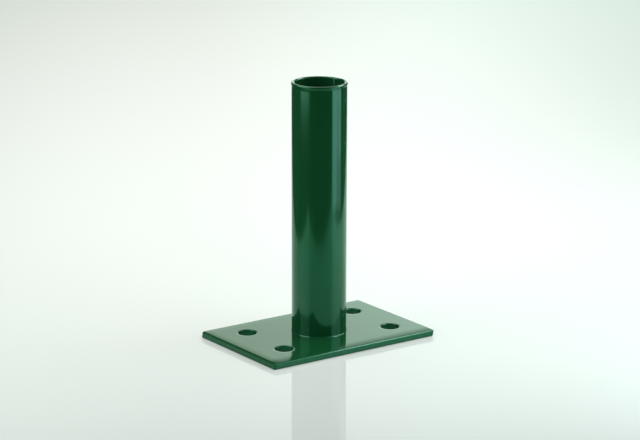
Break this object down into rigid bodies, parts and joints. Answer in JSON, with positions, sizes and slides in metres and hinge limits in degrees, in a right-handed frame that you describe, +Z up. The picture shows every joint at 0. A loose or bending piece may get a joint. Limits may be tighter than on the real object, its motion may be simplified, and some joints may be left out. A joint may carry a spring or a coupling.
{
  "type": "bolt-down post base",
  "caption": "Bolt-down post base: an open round socket tube set upright through a rectangular steel plate with bolt holes near its corners, welded from beneath and coated gloss green.",
  "frame": {"origin": "on the tube's axis at the plate's underside, which is also the middle of the bolt pattern", "axes": "+Z up the tube, +X along the plate's long side, +Y across the plate"},
  "size_m": [0.1498, 0.1, 0.201],
  "materials": {
    "green_coat": "gloss dark green powder coat on steel"
  },
  "bodies": {
    "root": {"base_plate": "green_coat", "socket_tube": "green_coat", "root_weld": "green_coat"}
  },
  "joints": []
}
